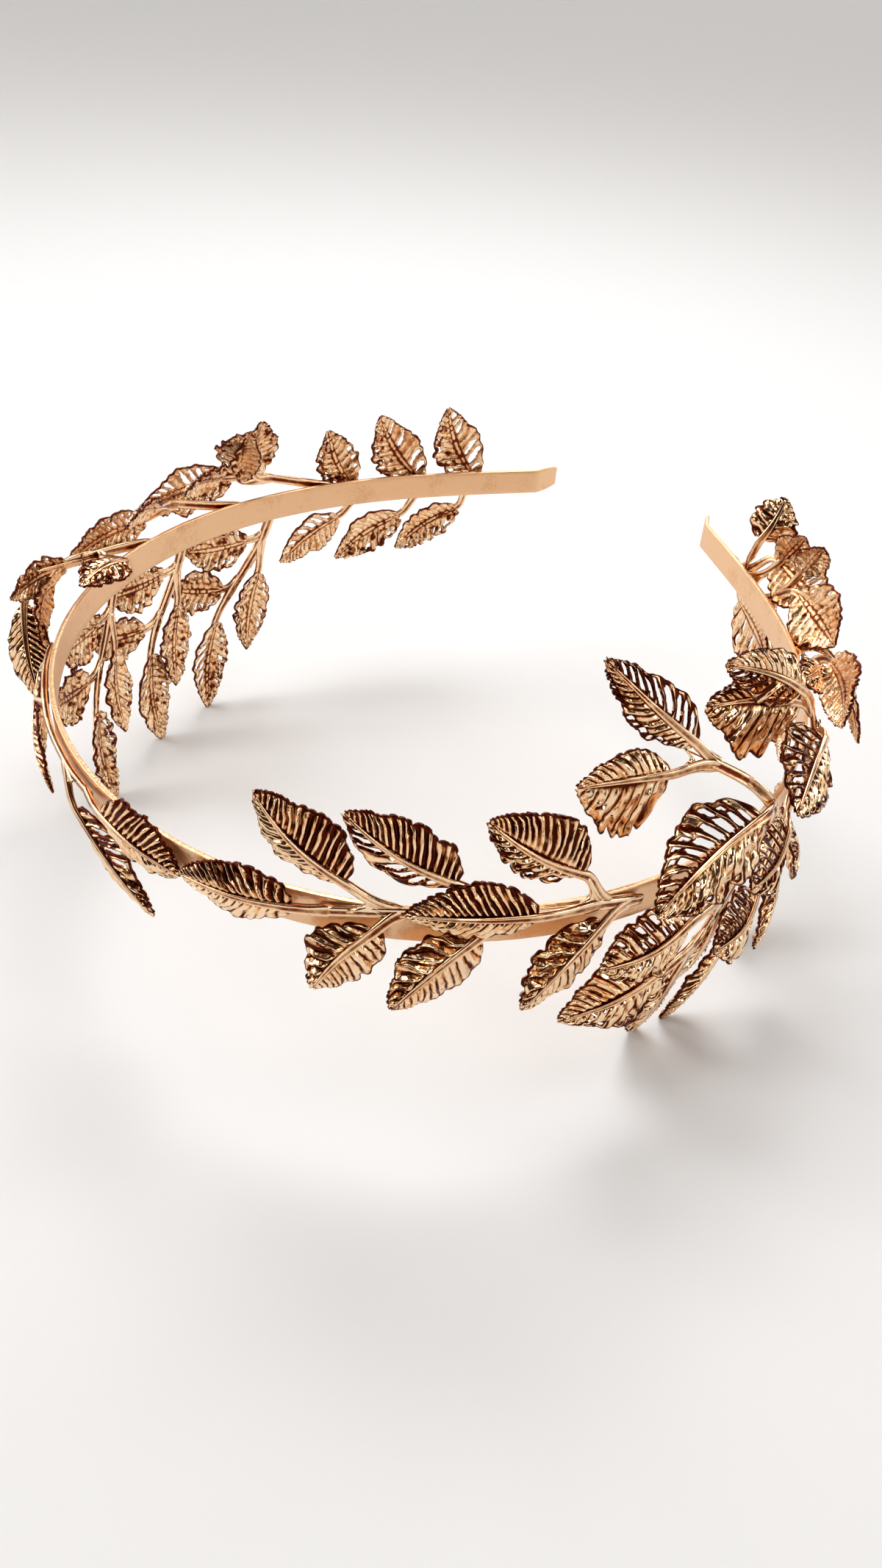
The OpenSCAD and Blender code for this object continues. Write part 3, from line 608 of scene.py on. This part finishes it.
def tube(path, wide, thick, up, groove):
    """Closed bar through the points, its ends closed flat, with a groove along its top; wide and
    thick are half sizes at each point."""
    count = len(path) - 1
    bm = bmesh.new()
    shade = bm.verts.layers.float.new(SHADE)
    bmesh.ops.create_grid(bm, x_segments=count + 2, y_segments=BAR_SIDES, size=1.0)
    for v in bm.verts:
        i = round((v.co.x + 1.0) / 2.0 * (count + 2)) - 1
        k = min(max(i, 0), count)
        angle = math.pi * v.co.y
        ahead = (path[min(k + 1, count)] - path[max(k - 1, 0)]).normalized()
        side = ahead.cross(up[k]).normalized()
        top = side.cross(ahead)
        open_end = 0.0 if i < 0 or i > count else 1.0
        rise = math.sin(angle) * (1.0 - groove + 2.0 * groove * math.cos(angle) ** 2)
        slope = abs(math.sin(angle))
        # painted shade along the middle of the top and of the underside, and along both thin edges of
        # the bar
        v[shade] = max(STEM_TOP_SHADE * smooth(slope, *STEM_TOP) * min(1.0, 2.0 * groove),
                       STEM_SIDE_SHADE * (1.0 - smooth(slope, *STEM_SIDE)))
        v.co = path[k] + (side * (math.cos(angle) * wide[k]) + top * (rise * thick[k])) * open_end
    bmesh.ops.remove_doubles(bm, verts=bm.verts, dist=TOUCHING)
    bmesh.ops.dissolve_degenerate(bm, edges=bm.edges, dist=TOUCHING)
    bmesh.ops.recalc_face_normals(bm, faces=bm.faces)
    for f in bm.faces:
        f.material_index = BARS
    return bm


def branch_direction(joints, j):
    i = max(j, 1)
    return (at(*joints[i]) - at(*joints[i - 1])).normalized()


def stalk_start(joints, j):
    """Where a stalk leaves the stem: some way back from its joint."""
    joint = at(*joints[j])
    if j == 0:
        return joint
    before = at(*joints[j - 1])
    lead = min(LEAD, LEAD_SHARE * (joint - before).length)
    return joint + (before - joint).normalized() * lead


def stalk_run(joints, row, leaf):
    """The four points of the curve from the stem to the start of a leaf's rib."""
    start = stalk_start(joints, row.joint)
    branch = branch_direction(joints, row.joint)
    first = leaf.rib(RIB_FROM)
    ahead = (leaf.rib(RIB_AHEAD) - leaf.rib(0.0)).normalized()
    gap = (first - start).length
    return start, start + branch * (STALK_PULL * gap), first - ahead * (STALK_SWING * gap), first


def stem_tube(joints):
    """Main stem of a spray: a smooth curve through its joints."""
    knots = [at(*j) for j in joints]
    path = []
    for i in range(len(knots) - 1):
        before = knots[max(i - 1, 0)]
        after = knots[min(i + 2, len(knots) - 1)]
        step = (knots[i + 1] - knots[i]).length / 3.0
        leave = knots[i] + (knots[i + 1] - before).normalized() * step
        arrive = knots[i + 1] - (after - knots[i]).normalized() * step
        for k in range(STEM_STATIONS):
            path.append(bezier(knots[i], leave, arrive, knots[i + 1], k / STEM_STATIONS))
    path.append(knots[-1])
    last = len(path) - 1
    up, wide = [], []
    for i in range(last + 1):
        k = min(int(i / last * (len(joints) - 1)), len(joints) - 2)
        f = i / last * (len(joints) - 1) - k
        up.append(outward(joints[k][0] + (joints[k + 1][0] - joints[k][0]) * f))
        opening = STEM_START + STEM_GAIN * smooth(i, 0, STEM_OPENS)
        wide.append(STEM * (STEM_ROOT - STEM_TAPER * i / last) * opening)
    return tube(path, wide, [STEM_FLAT * x for x in wide], up, STEM_GROOVE)


def stalk_tube(joints, row, leaf):
    """Stalk from a joint into a leaf, which runs on as the leaf's raised middle rib."""
    run = stalk_run(joints, row, leaf)
    out = outward(joints[row.joint][0])
    path, up = [], []
    sizes = ([], [])
    for k in range(STALK_STATIONS):
        t = k / STALK_STATIONS
        path.append(bezier(*run, t))
        up.append(out.lerp(leaf.normal, smooth(t, 0.0, 1.0)).normalized())
        flare = 1.0 - smooth(t, *FLARE_ENDS)
        opening = STALK_START + STALK_GAIN * smooth(t, *STALK_OPENS)
        for column, size, gain in zip(sizes, STALK_SIZE, STALK_FLARE):
            column.append(STEM * (size + gain * flare) * opening)
    for k in range(RIB_STATIONS + 1):
        t = RIB_FROM + RIB_LENGTH * k / RIB_STATIONS
        path.append(leaf.rib(t) + leaf.normal * (RIB_LIFT - RIB_SINK * t))
        up.append(leaf.normal)
        for column, size, loss in zip(sizes, RIB_SIZE, RIB_TAPER):
            column.append(STEM * (size - loss * (k / RIB_STATIONS) ** RIB_CURVE))
    return tube(path, *sizes, up, STALK_GROOVE)


def holds_web(joints, row):
    """True where the stalk leaves the stem at a wide enough angle, and the stem doesn't turn
    away so sharply after the joint that a web has no room."""
    j = row.joint
    branch = branch_direction(joints, j)
    stalk = (at(row.s, row.h, row.o) - stalk_start(joints, j)).normalized()
    if stalk.cross(branch).length <= FORK:
        return False
    if j + 1 >= len(joints):
        return True
    onward = (at(*joints[j + 1]) - at(*joints[j])).normalized()
    return onward.dot(branch) >= SHARP_TURN


def web_sheet(joints, row, leaf):
    """Flat web in the fork between a stalk and the stem, hollowed towards its open side."""
    run = stalk_run(joints, row, leaf)
    start = run[0]
    branch = branch_direction(joints, row.joint)
    out = outward(joints[row.joint][0])
    bm = bmesh.new()
    bmesh.ops.create_grid(bm, x_segments=WEB_GRID[0], y_segments=WEB_GRID[1], size=1.0)
    for v in bm.verts:
        share = (v.co.y + 1.0) / 2.0
        hollow = WEB_HOLLOW * (1.0 - (2.0 * share - 1.0) ** 2)
        t = WEB_START + (v.co.x + 1.0) / 2.0 * (WEB_END * (1.0 - hollow) - WEB_START)
        on_stalk = bezier(*run, t)
        on_stem = start + branch * (on_stalk - start).dot(branch)
        v.co = on_stem.lerp(on_stalk, share) + out * (WEB_LIFT + WEB_RIM * abs(2.0 * share - 1.0))
    back = bmesh.ops.extrude_face_region(bm, geom=bm.faces)["geom"]
    back = [v for v in back if isinstance(v, bmesh.types.BMVert)]
    bmesh.ops.translate(bm, vec=out * -WEB_THICKNESS, verts=back)
    bmesh.ops.recalc_face_normals(bm, faces=bm.faces)
    for f in bm.faces:
        f.material_index = BARS
    return bm


def merge(target, part):
    mesh = bpy.data.meshes.new("part")
    part.to_mesh(mesh)
    part.free()
    target.from_mesh(mesh)
    bpy.data.meshes.remove(mesh)


def set_in_place(bm):
    """Move a mesh from the run's own place to the frame, in metres, and shade it smooth."""
    bmesh.ops.translate(bm, vec=SHIFT, verts=bm.verts)
    bmesh.ops.scale(bm, vec=(MM, MM, MM), verts=bm.verts)
    for f in bm.faces:
        f.smooth = True


def link_mesh(bm, name, materials):
    """Object made from a finished mesh."""
    mesh = bpy.data.meshes.new(name)
    bm.to_mesh(mesh)
    bm.free()
    made = bpy.data.objects.new(name, mesh)
    bpy.context.scene.collection.objects.link(made)
    for material in materials:
        mesh.materials.append(material)
    return made


def spray(name, arm, joints, leaves, materials):
    """All leaves and stems of one spray as one piece, in place of its CAD node."""
    bm = bmesh.new()
    bm.verts.layers.float.new(SHADE)
    merge(bm, stem_tube(joints))
    for number, row in enumerate(map(Row._make, leaves)):
        seed = number * 5 + len(name) + round(row.s)
        leaf = Leaf(row, branch_direction(joints, row.joint), seed)
        merge(bm, leaf_sheet(leaf))
        merge(bm, stalk_tube(joints, row, leaf))
        if holds_web(joints, row):
            merge(bm, web_sheet(joints, row, leaf))
    bmesh.ops.scale(bm, vec=(arm, 1.0, 1.0), verts=bm.verts)
    if arm < 0:
        bmesh.ops.reverse_faces(bm, faces=bm.faces)
    set_in_place(bm)
    for v in bm.verts:
        v.co = [min(max(x, low), high) for x, low, high in zip(v.co, *cad_box)]
    piece = link_mesh(bm, name + "_metal", materials)
    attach(piece, "root")
    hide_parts(name)
    return piece


class Socket:
    """A node's output socket, with the arithmetic that the materials use."""

    def __init__(self, tree, value):
        self.tree = tree
        self.value = value

    def maths(self, operation, a, b):
        return self.tree.node("ShaderNodeMath", {"operation": operation}, {0: a, 1: b})

    def __add__(self, other):
        return self.maths("ADD", self, other)

    def __radd__(self, other):
        return self.maths("ADD", other, self)

    def __sub__(self, other):
        return self.maths("SUBTRACT", self, other)

    def __rsub__(self, other):
        return self.maths("SUBTRACT", other, self)

    def __mul__(self, other):
        return self.maths("MULTIPLY", self, other)

    def __rmul__(self, other):
        return self.maths("MULTIPLY", other, self)


class Tree:
    """A node tree of a material or of the world."""

    def __init__(self, owner):
        owner.use_nodes = True
        self.nodes = owner.node_tree.nodes
        self.links = owner.node_tree.links
        self.nodes.clear()

    def node(self, kind, settings=None, inputs=None, output=0):
        made = self.nodes.new(kind)
        for key, value in (settings or {}).items():
            if key == "stops":
                self.stops(made.color_ramp, value)
            else:
                setattr(made, key, value)
        for key, value in (inputs or {}).items():
            if isinstance(value, Socket):
                self.links.new(value.value, made.inputs[key])
            else:
                made.inputs[key].default_value = value
        return Socket(self, made.outputs[output]) if made.outputs else None

    def stops(self, ramp, values):
        while len(ramp.elements) > 1:
            ramp.elements.remove(ramp.elements[-1])
        ramp.elements[0].position, ramp.elements[0].color = values[0]
        for position, colour in values[1:]:
            ramp.elements.new(position).color = colour

    def mix(self, share, a, b):
        return self.node("ShaderNodeMix", {"data_type": "RGBA"}, {0: share, 6: a, 7: b}, 2)

    def noise(self, place, scale, detail):
        return self.node("ShaderNodeTexNoise", None, {"Vector": place, "Scale": scale, "Detail": detail})

    def step(self, value, low, high, start, end):
        """Smooth step from start to end where the value runs from low to high."""
        return self.node("ShaderNodeMapRange", {"interpolation_type": "SMOOTHSTEP"},
                         {0: value, 1: low, 2: high, 3: start, 4: end})


# How dark a place is coloured: shares of the painted shade, of broad patches of tone and of the skin,
# and where the colours of the crests, the plain metal and the painted shade in the grooves lie along
# their sum
PAINTED_SHADE_SHARE, PATCH_SHARE, SKIN_SHARE = 1.1, 0.9, 0.5
CREST_STOP, PLAIN_STOP, GROOVE_STOP = 0.05, 0.30, 0.64
PATCH_SCALE, PATCH_DETAIL = 140.0, 3.0
SKIN_DETAIL = 4.0
SKIN_ROUGHNESS, SHADE_AND_TONE_ROUGHNESS = 0.2, 0.16

# Finishes of rose gold: colours of crests, plain metal and the painted shade in grooves, roughness, then
# the scale of the skin and its height in metres
Finish = namedtuple("Finish", "crest plain groove roughness skin_scale skin_height")
FINISHES = {
    "rose_gold_stamped": Finish((0.97, 0.70, 0.45, 1.0), (0.84, 0.42, 0.17, 1.0),
                                (0.07, 0.009, 0.003, 1.0), 0.10, 900.0, 0.00005),
    "rose_gold_rough_back": Finish((0.97, 0.70, 0.45, 1.0), (0.84, 0.43, 0.18, 1.0),
                                   (0.12, 0.018, 0.007, 1.0), 0.25, 1300.0, 0.00016),
    "rose_gold_stem": Finish((0.97, 0.71, 0.47, 1.0), (0.86, 0.48, 0.23, 1.0),
                             (0.14, 0.022, 0.009, 1.0), 0.14, 700.0, 0.00004),
    "rose_gold_band": Finish((0.82, 0.52, 0.30, 1.0), (0.68, 0.38, 0.19, 1.0),
                             (0.32, 0.12, 0.06, 1.0), 0.36, 1600.0, 0.00011),
}


def metal(name):
    """Rose gold: bright on the crests, with red-brown painted shade in the grooves, beside the ribs, in
    pits and along margins, cut edges and stem edges, in patches of deeper tone, with an uneven polish
    and a fine skin."""
    finish = FINISHES[name]
    material = bpy.data.materials.new(name)
    tree = Tree(material)
    place = tree.node("ShaderNodeTexCoord", output=3)
    painted_shade = tree.node("ShaderNodeAttribute", {"attribute_name": SHADE}, output=2)
    patches = tree.noise(place, PATCH_SCALE, PATCH_DETAIL)
    skin = tree.noise(place, finish.skin_scale, SKIN_DETAIL)
    # painted shade from the vertex attribute, with random patches of tone and the skin
    shade_and_tone = PAINTED_SHADE_SHARE * painted_shade + PATCH_SHARE * (patches - 0.5) + SKIN_SHARE * (skin - 0.5)
    stops = [(CREST_STOP, finish.crest), (PLAIN_STOP, finish.plain), (GROOVE_STOP, finish.groove)]
    base = tree.node("ShaderNodeValToRGB", {"stops": stops}, {"Fac": shade_and_tone})
    rough = finish.roughness + SKIN_ROUGHNESS * (skin - 0.5) + SHADE_AND_TONE_ROUGHNESS * shade_and_tone
    normal = tree.node("ShaderNodeBump", None,
                       {"Strength": 1.0, "Distance": finish.skin_height, "Height": skin})
    shader = tree.node("ShaderNodeBsdfPrincipled", None,
                       {"Base Color": base, "Metallic": 1.0, "Roughness": rough, "Normal": normal})
    tree.node("ShaderNodeOutputMaterial", None, {"Surface": shader})
    return material


face_metal = metal("rose_gold_stamped")
back_metal = metal("rose_gold_rough_back")
stem_metal = metal("rose_gold_stem")
band_metal = metal("rose_gold_band")

for node, (arm, joints, leaves) in SPRAYS.items():
    spray(node, arm, joints, leaves, [face_metal, back_metal, stem_metal])

# The strip of the band
STRIP_STATIONS = 3 * STEPS     # along one arm
END_STATIONS = 6               # along one bent end
END_BEND = (0.0, 0.5)          # shares of the end over which it turns outward
STRIP_ROWS = 6
EDGE_ROUND = 0.00018           # metres
EDGE_LIMIT = 50.0              # degrees; sharper edges are rounded


def strip_stations():
    """Stations from one end of the band to the other: place, heading and share of the full
    height."""
    ends = math.radians(TIP_TURN)
    right = []
    for k in range(STRIP_STATIONS + 1):
        s = ARM * k / STRIP_STATIONS
        height = 1.0 - END_TAPER * centre(s).y / LINE[-1].y
        right.append((centre(s), heading(along(s) / STEPS), height))
    last, turn, _ = right[-1]
    onward = Vector((math.cos(turn - ends), math.sin(turn - ends), 0.0))
    for k in range(1, END_STATIONS + 1):
        share = k / END_STATIONS
        right.append((last + onward * (END_REACH * share), turn - ends * smooth(share, *END_BEND),
                      1.0 - END_TAPER - TIP_TAPER * share ** 3))
    left = [(Vector((-p.x, p.y, 0.0)), -a, k) for p, a, k in right[1:]]
    return left[::-1] + right


def band():
    """Flat strip swept along both arms, its long edges rounded and its ends bent out."""
    stations = strip_stations()
    last = len(stations) - 1
    bm = bmesh.new()
    bmesh.ops.create_grid(bm, x_segments=last, y_segments=STRIP_ROWS, size=1.0)
    for v in bm.verts:
        place, turn, height = stations[round((v.co.x + 1.0) / 2.0 * last)]
        rise = Vector((0.0, 0.0, REST + v.co.y * BAND_HEIGHT / 2.0 * height))
        v.co = place + rise + sideways(turn) * (-BAND_THICKNESS / 2.0)
    bmesh.ops.recalc_face_normals(bm, faces=bm.faces)
    front = min(bm.faces, key=lambda f: abs(f.calc_center_median().x) + abs(f.calc_center_median().y))
    if front.normal.y < 0.0:
        bmesh.ops.reverse_faces(bm, faces=bm.faces)
    bmesh.ops.solidify(bm, geom=bm.faces, thickness=BAND_THICKNESS)
    set_in_place(bm)
    piece = link_mesh(bm, "band_strip", [band_metal])
    bevel = piece.modifiers.new("edges", "BEVEL")
    bevel.width = EDGE_ROUND
    bevel.segments = 2
    bevel.angle_limit = math.radians(EDGE_LIMIT)
    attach(piece, "root")
    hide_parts("band")
    return piece


band()

# The setting, in metres: a pale floor, a bright room seen in the metal, and three lamps
FLOOR_SIZE = 3.0
FLOOR_COLOUR = (0.78, 0.78, 0.78, 1.0)
FLOOR_ROUGHNESS = 0.9
ROOM = Vector((0.30, -0.88, 0.36)).normalized()    # the way to the dark end of the room
ROOM_FROM, ROOM_FULL = 0.35, 0.80                  # cosines of the angle from it
WALL_COLOUR = (3.0, 2.97, 2.9, 1.0)
PATCH_COLOUR = (0.035, 0.012, 0.006, 1.0)
ROOM_COLOUR = (0.05, 0.024, 0.015, 1.0)
BACKDROP = (0.86, 0.85, 0.84, 1.0)                 # what the camera itself sees
CLUTTER_SCALE, CLUTTER_DETAIL = 2.6, 1.5           # of the dark patches on the walls
CLUTTER_DARK, CLUTTER_BRIGHT = 0.48, 0.56

# Lamps: place, what it points at, size and power in watts
Lamp = namedtuple("Lamp", "place target size power")
LAMPS = {
    "softbox_top": Lamp((-0.15, 0.25, 0.60), (0.0, 0.05, 0.0), (0.40, 0.40), 2.6),
    "window_left": Lamp((-0.75, -0.45, 0.50), (0.0, 0.0, 0.05), (0.20, 0.40), 1.8),
    "window_front": Lamp((0.55, -0.60, 0.30), (0.0, 0.0, 0.05), (0.12, 0.30), 0.7),
}


def floor():
    material = bpy.data.materials.new("pale_floor")
    tree = Tree(material)
    shader = tree.node("ShaderNodeBsdfPrincipled", None,
                       {"Base Color": FLOOR_COLOUR, "Roughness": FLOOR_ROUGHNESS})
    tree.node("ShaderNodeOutputMaterial", None, {"Surface": shader})
    bm = bmesh.new()
    bmesh.ops.create_grid(bm, x_segments=1, y_segments=1, size=FLOOR_SIZE)
    made = link_mesh(bm, "floor", [material])


def studio():
    """World: bright walls with dark patches and a dark end of the room, for the metal to
    reflect, in front of a plain pale backdrop."""
    world = bpy.data.worlds.new("studio")
    bpy.context.scene.world = world
    sky = Tree(world)
    way = sky.node("ShaderNodeTexCoord", output=0)
    facing = sky.node("ShaderNodeVectorMath", {"operation": "DOT_PRODUCT"}, {0: way, 1: ROOM}, 1)
    room = sky.step(facing, ROOM_FROM, ROOM_FULL, 0.0, 1.0)
    clutter = sky.noise(way, CLUTTER_SCALE, CLUTTER_DETAIL)
    patches = sky.step(clutter, CLUTTER_DARK, CLUTTER_BRIGHT, 1.0, 0.0)
    glow = sky.mix(room, sky.mix(patches, WALL_COLOUR, PATCH_COLOUR), ROOM_COLOUR)
    seen = sky.node("ShaderNodeLightPath", output=0)
    ambient = sky.node("ShaderNodeBackground", None,
                       {"Color": sky.mix(seen, glow, BACKDROP), "Strength": 1.0})
    sky.node("ShaderNodeOutputWorld", None, {"Surface": ambient})


def lamp(name, place, target, size, power):
    data = bpy.data.lights.new(name, "AREA")
    data.shape = "RECTANGLE"
    data.size, data.size_y = size
    data.energy = power
    made = bpy.data.objects.new(name, data)
    made.location = place
    made.rotation_mode = "QUATERNION"
    made.rotation_quaternion = (Vector(target) - Vector(place)).to_track_quat("-Z", "Y")
    bpy.context.scene.collection.objects.link(made)


floor()
studio()
for name, settings in LAMPS.items():
    lamp(name, *settings)

# The camera sees the crown from in front and above. Angles are in degrees, the distance and
# the target, measured from the front of the band's run, in mm.
CAMERA_AZIMUTH = 28.074
CAMERA_ELEVATION = 38.917
CAMERA_ROLL = 5.454
CAMERA_DISTANCE = 223.108
CAMERA_TARGET = Vector((22.742, 43.22, 0.0)) + SHIFT + Vector((0.0, 0.0, REST))
CAMERA_LENS = 27.77
SENSOR_WIDTH = 36.0
CLIP_START = 0.005     # metres


def aim_camera():
    azimuth = math.radians(CAMERA_AZIMUTH)
    elevation = math.radians(CAMERA_ELEVATION)
    back = Vector((math.sin(azimuth) * math.cos(elevation),
                   -math.cos(azimuth) * math.cos(elevation), math.sin(elevation)))
    data = bpy.data.cameras.new("camera")
    data.lens = CAMERA_LENS
    data.sensor_width = SENSOR_WIDTH
    data.sensor_fit = "AUTO"
    data.clip_start = CLIP_START
    camera = bpy.data.objects.new("camera", data)
    bpy.context.scene.collection.objects.link(camera)
    camera.rotation_mode = "QUATERNION"
    camera.location = (CAMERA_TARGET + back * CAMERA_DISTANCE) * MM
    roll = Matrix.Rotation(math.radians(CAMERA_ROLL), 3, "Z").to_quaternion()
    camera.rotation_quaternion = (-back).to_track_quat("-Z", "Y") @ roll
    bpy.context.scene.camera = camera


aim_camera()
bpy.context.scene.view_settings.view_transform = "Standard"
